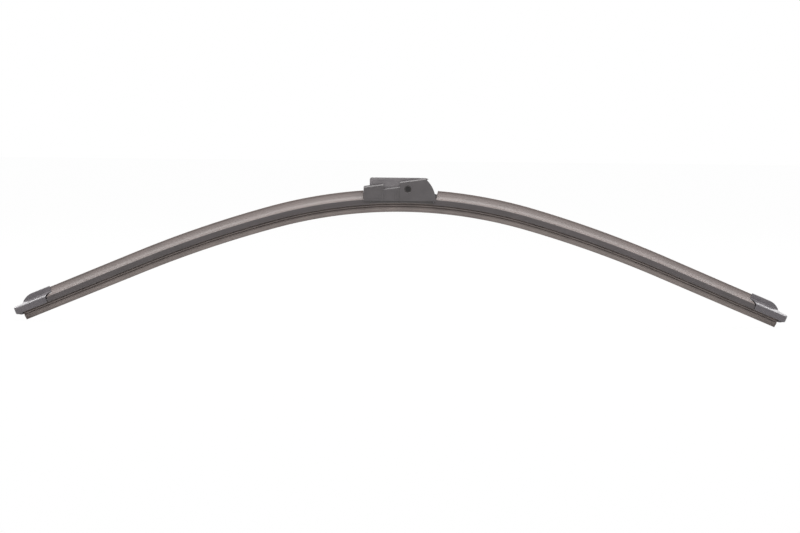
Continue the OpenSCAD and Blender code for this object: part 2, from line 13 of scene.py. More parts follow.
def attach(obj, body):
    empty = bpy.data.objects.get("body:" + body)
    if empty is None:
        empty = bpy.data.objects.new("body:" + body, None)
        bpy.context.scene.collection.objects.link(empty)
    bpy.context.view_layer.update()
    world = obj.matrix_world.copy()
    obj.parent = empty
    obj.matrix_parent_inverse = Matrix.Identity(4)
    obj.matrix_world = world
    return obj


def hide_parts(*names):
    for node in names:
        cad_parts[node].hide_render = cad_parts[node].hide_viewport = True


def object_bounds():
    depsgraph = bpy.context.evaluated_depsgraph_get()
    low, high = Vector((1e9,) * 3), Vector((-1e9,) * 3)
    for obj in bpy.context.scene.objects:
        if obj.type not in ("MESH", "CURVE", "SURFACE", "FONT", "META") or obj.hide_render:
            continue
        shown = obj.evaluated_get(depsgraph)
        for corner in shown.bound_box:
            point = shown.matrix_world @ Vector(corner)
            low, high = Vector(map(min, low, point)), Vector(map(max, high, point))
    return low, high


bl_info = {
    "name": "Wiper Blade Finish",
    "version": (1, 0, 0),
    "blender": (4, 5, 0),
    "location": "View3D > Sidebar > Wiper Blade",
    "description": "Builds the finished pieces of a flat wiper blade round its packed solids",
    "category": "Add Mesh",
}

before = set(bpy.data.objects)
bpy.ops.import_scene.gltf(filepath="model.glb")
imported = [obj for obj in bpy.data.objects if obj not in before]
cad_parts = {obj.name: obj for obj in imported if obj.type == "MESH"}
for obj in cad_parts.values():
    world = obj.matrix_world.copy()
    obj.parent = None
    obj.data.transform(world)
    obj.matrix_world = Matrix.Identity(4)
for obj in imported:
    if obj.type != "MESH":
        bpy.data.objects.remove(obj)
solid_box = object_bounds()

# One millimetre in the frame's metres; sizes are in millimetres where nothing else is said
MM = 0.001

# The blade's line: two tangent bends and a straight end on each side, at the rails' middle plane
HALF_LEN = 325.0
MID_R = 380.0
MID_END = 103.0
SIDE_R = 924.0
SIDE_END = 217.0
SEAT_Z = 13.5
END_ANGLE = MID_END / MID_R + (SIDE_END - MID_END) / SIDE_R

# Where the cover and the bracket end, the gaps that the spoilers keep from them, and the lean of
# the cover's right end
COVER_LEFT = 30.6
COVER_RIGHT = 27.2
BRACKET_END = 25.0
BRACKET_GAP = 0.3
END_GAP = 0.12
END_LEAN = radians(12)

# How far short of the line's end the spoilers and the rubber stop
SPOILER_BACK = 27.2
SPOILER_END = HALF_LEN - SPOILER_BACK
RUBBER_BACK = 5.6

# The spoiler's tip at the caps, how much higher it stands on the middle bend, the top of its
# claws, the height up to which a darker colour paints shade on the claws, and the foot of its
# hollow face
TIP_Z = 8.5
TIP_RISE = 0.8
CLAW_TOP = 1.9
CLAW_SHADE_TOP = 2.2
LOW_Z = 2.4

# The spoiler's hollow face: its two ends in the section, and its depth in the middle
FACE_TOP = (0.5, TIP_Z - 1.0)
FACE_FOOT = (6.2, LOW_Z)
FACE_DEPTH = 1.0

# The spoiler under the cover: the step from its level part, and how far the leaning end fades
COVER_STEP = 0.4
LEAN_FADE = 12.0

# The wiping lip: half width and height at its root and at its edge
LIP_ROOT = (2.3, -6.0)
LIP_EDGE = (0.35, -8.85)

# Points along the wiping lip, along the hollow face and round each corner of a section
LIP_STEPS = 14
FACE_STEPS = 28
CORNER_STEPS = 4

# The share of a short side that the rounding of its corner takes at most
SIDE_SHARE = 0.4

# Right halves of the sections, as width and height in millimetres
RUBBER_HALF = [
    (2.7, 1.8), (3.0, 1.5), (3.0, 0.55), (1.1, 0.55), (1.1, -0.55), (4.2, -0.55), (4.2, -1.6),
    (2.1, -2.1), (2.1, -2.95), (3.1, -3.05), (3.1, -3.75), (2.9, -3.95), (1.3, -3.95), (1.3, -4.6),
    (2.3, -4.65), (2.35, -5.4),
]
TIP_HALF = [(0.3, TIP_Z), (0.5, TIP_Z - 0.2)]
CLAW_HALF = [
    (6.6, CLAW_TOP), (6.6, -1.6), (6.1, -2.1), (4.4, -2.1), (4.4, -0.55), (5.3, -0.55),
    (5.3, 0.55), (3.1, 0.55), (3.1, CLAW_TOP),
]

# What an end cap takes from a spoiler, in a side view from the line's end, and its half width
CAP_VIEW = [
    (-32.9, 14.4), (-32.9, 4.0), (-30.4, 3.6), (-28.7, 2.8), (-28.0, 1.5), (-28.0, -7.1),
    (2.0, -7.1), (2.0, 14.4),
]
CAP_HALF = 20.0

# Side views of what closes the cover: the roof's pointed tip, and the hood's foot at the spoiler
ROOF_VIEW = [(12.0, 17.2), (12.6, 18.3), (18.4, 18.38), (20.0, 18.1), (21.1, 17.5), (19.4, 17.0)]
ROOF_HALF = 7.3
FOOT_VIEW = [(26.0, 2.1), (27.48, 2.1), (28.12, 5.3), (26.2, 5.9)]
FOOT_HALF = 3.0

# What the adapter's nose needs under that tip: a radius round the pivot, a half width, and the
# turn about the pivot that it covers, in degrees and in points
NOSE_R = 12.9
NOSE_HALF = 6.2
NOSE_TURN = (20, 75)
NOSE_STEPS = 24

# The pivot, and the sight hole over it: its radius, its soft rim's width and faces, and the place
# of the wall's outer face
PIVOT_X, PIVOT_Z = 4.7, 9.5
SIGHT_R = 2.6
SIGHT_RIM = 0.7
SIGHT_STEPS = 3
COVER_HALF = 8.4

# Slack in looking for the sight hole's edge, on the wall and round the hole
ON_WALL = 0.02
ON_RIM = 0.05

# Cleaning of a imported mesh: the distance of doubles, and the angle of flat neighbours in degrees
DOUBLES = 0.002
FLAT = 0.5

# Turns above which an edge is sharp, in degrees: on the extrusions and on the mouldings
SHARP_RUN = 35
SHARP_MOULDED = 24

# Strength of the room's light on the object, and the share of pure white in the floor as it is seen
ROOM_LIGHT = 0.3
FLOOR_GLOW = 0.985

# The floor's half width, and how far it lies under the blade, in metres from here on
FLOOR_HALF = 6.0
FLOOR_DROP = 0.3 * MM

# Soft boxes: name, place, width, depth and watts; all face one point
LAMPS = (
    ("Top soft box", (0.0, 0.22, 1.33), 2.8, 1.0, 38.0),
    ("Rim strip", (0.0, 1.0, 0.95), 2.8, 0.3, 18.0),
    ("Front soft box", (0.0, -0.8, 1.05), 2.4, 0.7, 12.0),
)
LAMP_AIM = (0.0, 0.0, -0.03)

# The camera: its distance, the width that it sees there, its downward tilt, its roll and its aim,
# how far it sees, and its sensor's width in millimetres
CAMERA_FAR = 1.9
VIEW_WIDTH = 0.6425
CAMERA_DOWN = radians(3.8)
CAMERA_ROLL = radians(0.6)
CAMERA_AIM = (-0.0009, 0.0, -0.0663)
VIEW_DEPTH = 50.0
SENSOR = 36.0


def blade_line(s):
    """Point (x, z) and slope of the blade's line at stations s, in millimetres and radians.

    With a the distance from the middle, the slope is the length run on each bend over its radius:
    min(a, MID_END) / MID_R, then the part of a between the bends' ends over SIDE_R. The point adds
    the two circles' sines and cosines and the straight rest, and the left half mirrors the right.
    """
    a = np.abs(s)
    first = np.minimum(a, MID_END) / MID_R
    slope = first + np.clip(a - MID_END, 0, SIDE_END - MID_END) / SIDE_R
    rest = np.maximum(a - SIDE_END, 0)
    x = MID_R * np.sin(first) + SIDE_R * (np.sin(slope) - np.sin(first)) + rest * np.cos(slope)
    z = MID_R * (np.cos(first) - 1) + SIDE_R * (np.cos(slope) - np.cos(first))
    z -= rest * np.sin(slope)
    return np.sign(s) * x, z - SEAT_Z, np.sign(s) * slope


def rounded(corners, radius):
    """A closed outline with its corners cut by short curves.

    A corner P becomes (1-t)^2 A + 2(1-t)t P + t^2 B for t from 0 to 1, where A and B lie on its two
    sides at the radius from P, or at SIDE_SHARE of the side where that is shorter.
    """
    p = np.asarray(corners, float)
    back = np.roll(p, 1, axis=0) - p
    ahead = np.roll(p, -1, axis=0) - p
    back_len = np.linalg.norm(back, axis=1, keepdims=True)
    ahead_len = np.linalg.norm(ahead, axis=1, keepdims=True)
    a = p + back / back_len * np.minimum(radius, SIDE_SHARE * back_len)
    b = p + ahead / ahead_len * np.minimum(radius, SIDE_SHARE * ahead_len)
    t = np.linspace(0, 1, CORNER_STEPS)[:, None, None]
    curve = (1 - t) ** 2 * a + 2 * (1 - t) * t * p + t ** 2 * b
    return curve.transpose(1, 0, 2).reshape(-1, 2)


def whole(half):
    """A symmetric outline: the right half, then its mirror image in reverse order."""
    half = np.asarray(half, float)
    return np.vstack([half, half[::-1] * (-1, 1)])


def wiping_lip():
    """Right side of the wiping lip, from its root to its edge, for t from 0 to 1.

    The height falls evenly with t, and the width is the edge's plus the rest times (1-t)^1.6.
    """
    t = np.linspace(0, 1, LIP_STEPS)
    width = LIP_EDGE[0] + (LIP_ROOT[0] - LIP_EDGE[0]) * (1 - t) ** 1.6
    return np.column_stack([width, LIP_ROOT[1] + (LIP_EDGE[1] - LIP_ROOT[1]) * t])


def hollow_face():
    """Right face of the spoiler: an arc from its tip to its claw, with its depth in the middle.

    A chord c with an arc of depth d has the radius (c^2 / 4 + d^2) / 2d.
    """
    a, b = np.array(FACE_TOP), np.array(FACE_FOOT)
    chord = np.linalg.norm(b - a)
    radius = (chord ** 2 / 4 + FACE_DEPTH ** 2) / (2 * FACE_DEPTH)
    out = np.array((a[1] - b[1], b[0] - a[0])) / chord
    centre = (a + b) / 2 + out * (radius - FACE_DEPTH)
    start = np.arctan2(*(a - centre)[::-1])
    end = np.arctan2(*(b - centre)[::-1])
    turn = np.linspace(start, end, FACE_STEPS)
    return centre + radius * np.column_stack([np.cos(turn), np.sin(turn)])


def even_stations(start, end, gap):
    """Stations from start to end, both of them in, as evenly spaced as the gap allows."""
    return np.linspace(start, end, max(2, int(round((end - start) / gap)) + 1))


def run_mesh(name, width, height, stations, reach=0.0):
    """A mesh of sections carried along the blade's line, closed at both ends.

    Width and height hold a row for each station. A point (w, h) of the row at station s lies at
    width w and h square to the line, after its reach has moved it along. The UV map holds the
    station and the way round the section, both in metres.
    """
    rows, count = height.shape
    x, z, slope = blade_line(stations[:, None] + reach + np.zeros_like(height))
    points = np.stack([x + height * np.sin(slope), width, z + height * np.cos(slope)], axis=-1)
    i, j = np.meshgrid(np.arange(rows - 1), np.arange(count), indexing="ij")
    k = (j + 1) % count
    near, far = i * count, (i + 1) * count
    quads = np.stack([far + j, far + k, near + k, near + j], axis=-1)
    ends = [list(range(count)), list(range(rows * count - 1, (rows - 1) * count - 1, -1))]
    faces = quads.reshape(-1, 4).tolist() + ends
    mesh = bpy.data.meshes.new(name)
    mesh.from_pydata((points * MM).reshape(-1, 3).tolist(), [], faces)
    section = np.column_stack([width[-1], height[-1]])
    step = np.linalg.norm(np.roll(section, -1, axis=0) - section, axis=1)
    around = np.concatenate([[0], np.cumsum(step)])
    u = stations[np.stack([i + 1, i + 1, i, i], axis=-1)]
    v = around[np.stack([j, j + 1, j + 1, j], axis=-1)]
    sides = np.stack([u, v], axis=-1).reshape(-1, 2)
    uv = np.vstack([sides, section, section[::-1]]) * MM
    mesh.uv_layers.new(name="Run").data.foreach_set("uv", uv.ravel().astype(np.float32))
    return mesh


def dressed(mesh, material):
    """The mesh with one material in place of those that it came with."""
    mesh.materials.clear()
    mesh.materials.append(material)
    return mesh


def placed(name, mesh, body, node_name):
    """An object for a finished mesh: it rides on a body and stands for a node."""
    piece = bpy.data.objects.new(name, mesh)
    bpy.context.scene.collection.objects.link(piece)
    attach(piece, body)
    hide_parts(node_name)


def shade(mesh, angle=SHARP_RUN):
    """Smooth faces that break at edges sharper than the angle, in degrees."""
    mesh.polygons.foreach_set("use_smooth", np.ones(len(mesh.polygons), bool))
    mesh.set_sharp_from_angle(angle=radians(angle))


def settle(piece):
    """Applies the piece's modifiers: its mesh becomes the one that they give."""
    bpy.context.view_layer.update()
    made = piece.evaluated_get(bpy.context.evaluated_depsgraph_get())
    mesh = bpy.data.meshes.new_from_object(made)
    piece.modifiers.clear()
    piece.data = mesh


def prism(x, z, half):
    """A closed prism: the outline through the points (x, z), carried across to y = +-half."""
    n = len(x)
    near = np.column_stack([x, np.full(n, -half), z])
    faces = [list(range(n)), list(range(2 * n - 1, n - 1, -1))]
    faces += [[i, n + i, n + (i + 1) % n, (i + 1) % n] for i in range(n)]
    mesh = bpy.data.meshes.new("prism")
    mesh.from_pydata((np.vstack([near, near * (1, -1, 1)]) * MM).tolist(), [], faces)
    mesh.uv_layers.new(name="Run")
    work = bmesh.new()
    work.from_mesh(mesh)
    bmesh.ops.recalc_face_normals(work, faces=work.faces)
    work.to_mesh(mesh)
    work.free()
    return mesh


def combined(mesh, operation, others):
    """The mesh after a boolean operation with each of the others."""
    objects = [bpy.data.objects.new("work", made) for made in (mesh, *others)]
    for made in objects:
        bpy.context.scene.collection.objects.link(made)
    piece = objects[0]
    for other in objects[1:]:
        step = piece.modifiers.new("Step", "BOOLEAN")
        step.operation, step.solver, step.object = operation, "EXACT", other
    settle(piece)
    result = piece.data
    for made in objects:
        bpy.data.objects.remove(made)
    return result


def clean_copy(node_name):
    """A copy of a CAD node's mesh with its doubles merged and its flat neighbours joined."""
    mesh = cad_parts[node_name].data.copy()
    work = bmesh.new()
    work.from_mesh(mesh)
    bmesh.ops.remove_doubles(work, verts=work.verts, dist=DOUBLES * MM)
    bmesh.ops.dissolve_limit(work, angle_limit=radians(FLAT), verts=work.verts, edges=work.edges)
    work.to_mesh(mesh)
    work.free()
    return mesh


def edges_rounded(mesh, radius, segments):
    """The mesh with every edge sharper than SHARP_MOULDED rounded."""
    piece = bpy.data.objects.new("work", mesh)
    bpy.context.scene.collection.objects.link(piece)
    bevel = piece.modifiers.new("Edges", "BEVEL")
    bevel.width = radius
    bevel.segments = segments
    bevel.limit_method = "ANGLE"
    bevel.angle_limit = radians(SHARP_MOULDED)
    bevel.use_clamp_overlap = True
    # Normals weighted by area keep the wide flat faces flat up to their rounded edges
    normals = piece.modifiers.new("Normals", "WEIGHTED_NORMAL")
    normals.keep_sharp = True
    normals.weight = 100
    shade(mesh, SHARP_MOULDED)
    settle(piece)
    made = piece.data
    bpy.data.objects.remove(piece)
    return made


def roof_tip():
    """The roof's pointed tip, less a round hollow about the pivot for the adapter's nose."""
    turn = np.radians(np.linspace(*NOSE_TURN, NOSE_STEPS))
    x = np.concatenate([[PIVOT_X], PIVOT_X + NOSE_R * np.cos(turn)])
    z = np.concatenate([[PIVOT_Z], PIVOT_Z + NOSE_R * np.sin(turn)]) - SEAT_Z
    view = np.array(ROOF_VIEW) - (0, SEAT_Z)
    return combined(prism(*view.T, ROOF_HALF), "DIFFERENCE", [prism(x, z, NOSE_HALF)])


def on_sight_hole(point):
    """True where a point lies on an outer wall and at the sight hole's radius from the pivot."""
    x, y, z = np.array(point) / MM
    off_hole = np.hypot(x - PIVOT_X, z - (PIVOT_Z - SEAT_Z)) - SIGHT_R
    return abs(abs(y) - COVER_HALF) < ON_WALL and abs(off_hole) < ON_RIM


def soften_sight_hole(mesh):
    """Cuts a soft rim round the sight hole's edge on both outer faces."""
    work = bmesh.new()
    work.from_mesh(mesh)
    rim = [edge for edge in work.edges if all(on_sight_hole(v.co) for v in edge.verts)]
    if not rim:
        raise RuntimeError("no edge of the sight hole was found")
    bmesh.ops.bevel(
        work, geom=rim, offset=SIGHT_RIM * MM, offset_type="OFFSET", segments=SIGHT_STEPS,
        profile=0.5, affect="EDGES",
    )
    work.to_mesh(mesh)
    work.free()


def linear(hex_colour):
    """An sRGB hex colour as linear red, green, blue and a full alpha."""
    c = np.array([int(hex_colour[i:i + 2], 16) for i in (1, 3, 5)]) / 255
    c = np.where(c <= 0.04045, c / 12.92, ((c + 0.055) / 1.055) ** 2.4)
    return (*c.tolist(), 1.0)


def node(tree, kind, inputs, **settings):
    """Adds a node with its settings; an input takes a value or another node's output."""
    made = tree.nodes.new(kind)
    for key, value in settings.items():
        setattr(made, key, value)
    for key, value in inputs.items():
        if isinstance(value, bpy.types.NodeSocket):
            tree.links.new(value, made.inputs[key])
        else:
            made.inputs[key].default_value = value
    return made


def new_tree(name):
    """A new material and its node tree, which is empty."""
    material = bpy.data.materials.new(name)
    material.use_nodes = True
    material.node_tree.nodes.clear()
    return material, material.node_tree


def surface(tree, shader):
    """Leads a shader to the material's output."""
    node(tree, "ShaderNodeOutputMaterial", {"Surface": shader.outputs[0]})


def per(size_mm):
    """Scale of a pattern whose features are a size in millimetres apart."""
    return 1 / (size_mm * MM)


def here(tree):
    """The place on the piece, in its object's coordinates."""
    return node(tree, "ShaderNodeTexCoord", {}).outputs["Object"]


def noise(tree, place, scale, detail, roughness=0.5):
    """A noise over a place, mostly between 0.3 and 0.7."""
    inputs = {"Vector": place, "Scale": scale, "Detail": detail, "Roughness": roughness}
    return node(tree, "ShaderNodeTexNoise", inputs).outputs[0]


def drawn_lines(tree, place, x_mm, y_mm, z_mm=1.0):
    """A noise whose features have a size of their own along each axis, so that it runs in lines."""
    scale = (per(x_mm), per(y_mm), per(z_mm))
    drawn = node(tree, "ShaderNodeMapping", {"Vector": place, "Scale": scale}).outputs[0]
    return noise(tree, drawn, 1.0, 3.0)


def maths(tree, operation, *values):
    """The result of an operation on values or other nodes' outputs."""
    return node(tree, "ShaderNodeMath", dict(enumerate(values)), operation=operation).outputs[0]


def ranged(tree, value, low, high, to_low=0.0, to_high=1.0):
    """A value between low and high, carried to the range from to_low to to_high."""
    inputs = {
        "Value": value, "From Min": low, "From Max": high, "To Min": to_low, "To Max": to_high,
    }
    return node(tree, "ShaderNodeMapRange", inputs).outputs[0]


def mixed(tree, share, first, second):
    """A colour between two, by the share of the second."""
    inputs = {0: share, 6: first, 7: second}
    return node(tree, "ShaderNodeMix", inputs, data_type="RGBA").outputs[2]


def bumped(tree, height, strength, depth_mm):
    """The normal over a relief that is a depth in millimetres high."""
    inputs = {"Height": height, "Strength": strength, "Distance": depth_mm * MM}
    return node(tree, "ShaderNodeBump", inputs).outputs[0]


def moulded(name, base, pale, grain_mm, roughness, bump_mm):
    """A moulded plastic: a grain from the tool over soft flow clouds, which also pale the colour.

    The share of the pale colour grows with the product of the clouds' and the grain's noise.
    """
    material, tree = new_tree(name)
    place = here(tree)
    # Flow clouds about a wall's height across; the real grain of 0.05 mm is too fine to show, so it
    # is drawn as coarse as grain_mm
    clouds = noise(tree, place, per(11), 5.0, 0.6)
    grain = noise(tree, place, per(grain_mm), 2.0)
    share = ranged(tree, maths(tree, "MULTIPLY", clouds, grain), 0.12, 0.42)
    surface(tree, node(tree, "ShaderNodeBsdfPrincipled", {
        "Base Color": mixed(tree, share, base, pale),
        "Roughness": ranged(tree, clouds, 0.3, 0.7, roughness - 0.05, roughness + 0.07),
        "Normal": bumped(tree, grain, 0.5, bump_mm),
        "IOR": 1.53,
    }))
    return material


def extruded(name, base, pale, roughness, ior):
    """An extruded rubber: drawn lines along the run, a fine speckle of powder and a soft bloom.

    The lines are a noise stretched along the run by the UV map, 110 mm long and 0.45 mm apart.
    """
    material, tree = new_tree(name)
    place = here(tree)
    lines = drawn_lines(tree, node(tree, "ShaderNodeUVMap", {}, uv_map="Run").outputs[0], 110, 0.45)
    # The real powder is about 0.02 mm, too fine to show, so it is drawn at 0.35 mm
    powder = noise(tree, place, per(0.35), 2.0)
    bloom = noise(tree, place, per(22), 4.0, 0.6)
    share = ranged(tree, maths(tree, "MULTIPLY", lines, bloom), 0.12, 0.4)
    relief = maths(tree, "MULTIPLY_ADD", powder, 0.35, lines)
    surface(tree, node(tree, "ShaderNodeBsdfPrincipled", {
        "Base Color": mixed(tree, share, base, pale),
        "Roughness": ranged(tree, bloom, 0.3, 0.7, roughness - 0.05, roughness + 0.08),
        "Normal": bumped(tree, relief, 0.4, 0.03),
        "IOR": ior,
    }))
    return material


def steel(name, base, stained, lines_mm, roughness, metallic=1.0):
    """A metal: drawn lines, and a stain that dulls and browns it.

    The lines' features are the given millimetres apart along x, y and z; real ones are about
    0.02 mm apart, too fine to show, so they are drawn coarser.
    """
    material, tree = new_tree(name)
    place = here(tree)
    lines = drawn_lines(tree, place, *lines_mm)
    stain = noise(tree, place, per(6), 5.0)
    share = ranged(tree, stain, 0.5, 0.72, 0.0, 0.6)
    surface(tree, node(tree, "ShaderNodeBsdfPrincipled", {
        "Base Color": mixed(tree, share, base, stained),
        "Metallic": metallic,
        "Roughness": ranged(tree, lines, 0.3, 0.7, roughness - 0.06, roughness + 0.1),
        "Normal": bumped(tree, lines, 0.3, 0.01),
    }))
    return material


def pale_floor():
    """White card that takes the soft shadow; to the eye and in mirrors it is nearly pure white."""
    material, tree = new_tree("White card")
    fibre = noise(tree, here(tree), per(0.8), 3.0)
    tone = mixed(tree, fibre, linear("#d0d0cf"), linear("#d6d6d6"))
    card = node(tree, "ShaderNodeBsdfDiffuse", {"Color": tone})
    glow = node(tree, "ShaderNodeEmission", {"Color": (1, 1, 1, 1), "Strength": 1.0})
    share = maths(tree, "MULTIPLY", seen_ray(tree), FLOOR_GLOW)
    both = {0: share, 1: card.outputs[0], 2: glow.outputs[0]}
    surface(tree, node(tree, "ShaderNodeMixShader", both))
    return material


def seen_ray(tree):
    """One for a ray from the eye, a mirror or a clear material; none for light on the object."""
    path = node(tree, "ShaderNodeLightPath", {}).outputs
    seen = maths(tree, "MAXIMUM", path["Is Camera Ray"], path["Is Glossy Ray"])
    return maths(tree, "MAXIMUM", seen, path["Is Transmission Ray"])


def white_world():
    """A plain white room: full white to the eye and in reflections, softer as a light."""
    world = bpy.data.worlds.new("White room")
    world.use_nodes = True
    tree = world.node_tree
    tree.nodes.clear()
    level = ranged(tree, seen_ray(tree), 0.0, 1.0, ROOM_LIGHT)
    ground = node(tree, "ShaderNodeBackground", {"Color": (1, 1, 1, 1), "Strength": level})
    node(tree, "ShaderNodeOutputWorld", {"Surface": ground.outputs[0]})
    bpy.context.scene.world = world


def soft_lamp(name, place, width, depth, watts):
    """A rectangular soft box at a place, turned to face the blade."""
    data = bpy.data.lights.new(name, "AREA")
    data.shape = "RECTANGLE"
    data.size, data.size_y, data.energy = width, depth, watts
    lamp = bpy.data.objects.new(name, data)
    bpy.context.scene.collection.objects.link(lamp)
    lamp.location = place
    lamp.rotation_euler = (Vector(LAMP_AIM) - Vector(place)).to_track_quat("-Z", "Y").to_euler()


def cap_cutter():
    """A prism with the outline that an end cap takes from a spoiler, carried across the blade."""
    outline = np.array(CAP_VIEW)
    x, z, _ = blade_line(np.array([HALF_LEN]))
    along = x + outline[:, 0] * cos(END_ANGLE) + outline[:, 1] * sin(END_ANGLE)
    up = z - outline[:, 0] * sin(END_ANGLE) + outline[:, 1] * cos(END_ANGLE)
    return prism(along, up, CAP_HALF)


def level_width(section):
    """Widths of the section's points where its upper part lies in a level row under the cover.

    A point above the claws goes to the share of the row that its way from the tip has of the whole
    way from the tip to the claws.
    """
    half = section[:len(section) // 2]
    steps = np.linalg.norm(np.diff(half, axis=0), axis=1)
    way = np.concatenate([[0], np.cumsum(steps)]) + half[0, 0]
    upper = half[:, 1] > LOW_Z
    foot = np.count_nonzero(upper)
    width = np.where(upper, way / way[foot] * half[foot, 0], half[:, 0])
    return np.concatenate([width, -width[::-1]])


def spoiler_mesh(side, cover_end, lean, gap, radius, materials):
    """A spoiler carried out from the connector, less what the end cap takes.

    The left one, with a side below 0, is made on the right and mirrored. The faces wear the first
    material above the claws and the second, darker one on them as painted shade.

    Above the claws a height h grows by the rise times (h - CLAW_TOP) / (TIP_Z - CLAW_TOP). The rise
    is full up to the middle bend's end and falls evenly to none at the cap. Under the cover the
    section is cut level, and its full height starts with a face that leans by h times the lean's
    tangent, which fades away over LEAN_FADE.
    """
    half = np.vstack([TIP_HALF, hollow_face(), CLAW_HALF])
    section = rounded(whole(half), radius)
    start = cover_end + END_GAP
    run = even_stations(start, SPOILER_END, gap)
    stations = np.concatenate([[BRACKET_END + BRACKET_GAP, start - COVER_STEP], run])
    under = (np.arange(len(stations)) < 2)[:, None]
    rise = TIP_RISE * np.minimum(1, (SPOILER_END - stations) / (SPOILER_END - MID_END))[:, None]
    high = section[:, 1] + rise * np.maximum(section[:, 1] - CLAW_TOP, 0) / (TIP_Z - CLAW_TOP)
    height = np.where(under, np.minimum(section[:, 1], LOW_Z), high)
    width = np.where(under, level_width(section), section[:, 0])
    fade = np.clip(1 - (stations - start) / LEAN_FADE, 0, 1)[:, None]
    lean_by = np.maximum(height - LOW_Z, 0) * np.tan(lean - start / MID_R) * fade
    reach = np.where(under, 0, lean_by)
    mesh = run_mesh("spoiler", width, height, stations, reach)
    for made in materials:
        mesh.materials.append(made)
    # Faces on the claws wear the darker material, as painted shade on their upright sides
    low = section[:, 1] < CLAW_SHADE_TOP
    claws = low & np.roll(low, -1)
    kind = np.concatenate([np.tile(claws, len(stations) - 1), [False, False]])
    mesh.polygons.foreach_set("material_index", kind.astype(np.int32))
    mesh = combined(mesh, "DIFFERENCE", [cap_cutter()])
    if side < 0:
        mesh.transform(Matrix.Scale(-1, 4, (1, 0, 0)))
        mesh.flip_normals()
    shade(mesh)
    return mesh


class WiperShape(bpy.types.PropertyGroup):
    """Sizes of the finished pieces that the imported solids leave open."""
    ring_gap: FloatProperty(
        name="Ring spacing", description="Distance of the rings along the rubber and the spoilers",
        default=2.5 * MM, min=0.5 * MM, max=10 * MM, unit="LENGTH",
    )
    rubber_round: FloatProperty(
        name="Rubber rounding", description="Rounding of the rubber's and the spoilers' long edges",
        default=0.18 * MM, min=0.05 * MM, max=0.3 * MM, unit="LENGTH",
    )
    cap_round: FloatProperty(
        name="Cap rounding", description="Rounding of the end caps' edges",
        default=0.45 * MM, min=0.05 * MM, max=0.6 * MM, unit="LENGTH",
    )
    cover_round: FloatProperty(
        name="Cover rounding", description="Rounding of the cover's and the adapter's edges",
        default=0.2 * MM, min=0.05 * MM, max=0.4 * MM, unit="LENGTH",
    )
    steps: IntProperty(
        name="Rounding steps", description="Faces across each rounded edge",
        default=3, min=1, max=5, subtype="UNSIGNED",
    )


def colour_property(label, use, hex_colour):
    """A colour property with its default given as sRGB hex."""
    return FloatVectorProperty(
        name=label, description=use, default=linear(hex_colour),
        subtype="COLOR", size=4, min=0, max=1,
    )


class WiperColours(bpy.types.PropertyGroup):
    """Colours of the real materials, each with the paler tone of its worn or dusty places; the
    claws' colours are darker than the spoiler's, as painted shade.
    """
    rubber: colour_property("Rubber", "Wiping rubber", "#655c59")
    rubber_pale: colour_property("Rubber bloom", "Powdery bloom on the rubber", "#7f7571")
    spoiler: colour_property("Spoiler", "Spoiler elastomer", "#605754")
    spoiler_pale: colour_property("Spoiler bloom", "Bloom on the spoilers", "#726663")
    # The claws' two colours are darker than the spoiler's, as painted shade on their upright sides
    claw: colour_property("Spoiler claw shade", "Spoilers' claws, darker as painted shade", "#443f3f")
    claw_pale: colour_property("Spoiler claw shade rub", "Rubbed places on the claws", "#544e4f")
    cap: colour_property("End cap", "End caps", "#4f4b4f")
    cap_pale: colour_property("End cap rub", "Rubbed places on the caps", "#625d60")
    cover: colour_property("Cover", "Connector cover", "#484445")
    cover_pale: colour_property("Cover rub", "Rubbed places on the cover", "#585455")
    adapter: colour_property("Adapter", "Arm adapter", "#6a6668")
    adapter_pale: colour_property("Adapter rub", "Rubbed places on the adapter", "#807b7d")


def shape():
    """The sizes that a user may change."""
    return bpy.context.scene.wiper_shape


def colours():
    """The colours that a user may change."""
    return bpy.context.scene.wiper_colours


class WIPER_OT_rubber(bpy.types.Operator):
    """Carries the wiping rubber's section along the blade's line"""
    bl_idname = "wiper.rubber"
    bl_label = "Wiping rubber"

    def execute(self, context):
        half = np.vstack([RUBBER_HALF, wiping_lip()])
        section = rounded(whole(half), shape().rubber_round / MM)
        end = HALF_LEN - RUBBER_BACK
        stations = even_stations(-end, end, shape().ring_gap / MM)
        rows = np.ones((len(stations), 1))
        mesh = run_mesh("wiping_rubber", rows * section[:, 0], rows * section[:, 1], stations)
        shade(mesh)
        # EPDM rubber, extruded and powdered: dull black with drawn lines and a grey bloom
        epdm = extruded("EPDM rubber", colours().rubber, colours().rubber_pale, 0.62, 1.52)
        placed("wiping_rubber", dressed(mesh, epdm), "blade", "wiper_rubber")
        return {"FINISHED"}


class WIPER_OT_spoilers(bpy.types.Operator):
    """Carries the spoilers' section out from the connector on both sides"""
    bl_idname = "wiper.spoilers"
    bl_label = "Spoilers"

    def execute(self, context):
        gap, radius = shape().ring_gap / MM, shape().rubber_round / MM
        tone = colours()
        # Thermoplastic elastomer, extruded: satin, so it shows the room along its hollow face
        soft = extruded("Thermoplastic elastomer", tone.spoiler, tone.spoiler_pale, 0.4, 1.5)
        # The same elastomer, darker and a little rougher, on the claws: painted shade on their
        # sides
        shaded_claw_tone = extruded("Claw elastomer with painted shade", tone.claw, tone.claw_pale, 0.5, 1.5)
        left = spoiler_mesh(-1, COVER_LEFT, 0.0, gap, radius, (soft, shaded_claw_tone))
        right = spoiler_mesh(1, COVER_RIGHT, END_LEAN, gap, radius, (soft, shaded_claw_tone))
        placed("left_spoiler", left, "blade", "spoiler_left")
        placed("right_spoiler", right, "blade", "spoiler_right")
        return {"FINISHED"}


class WIPER_OT_end_caps(bpy.types.Operator):
    """Rounds the edges of the two end caps"""
    bl_idname = "wiper.end_caps"
    bl_label = "End caps"

    def execute(self, context):
        # Acetal, moulded in a polished tool: smooth and dark, with a clear highlight on its ledges
        acetal = moulded("Acetal", colours().cap, colours().cap_pale, 1.2, 0.26, 0.003)
        for side in ("left", "right"):
            cad = "end_cap_" + side
            mesh = edges_rounded(clean_copy(cad), shape().cap_round, shape().steps)
            placed(side + "_end_cap", dressed(mesh, acetal), "blade", cad)
        return {"FINISHED"}


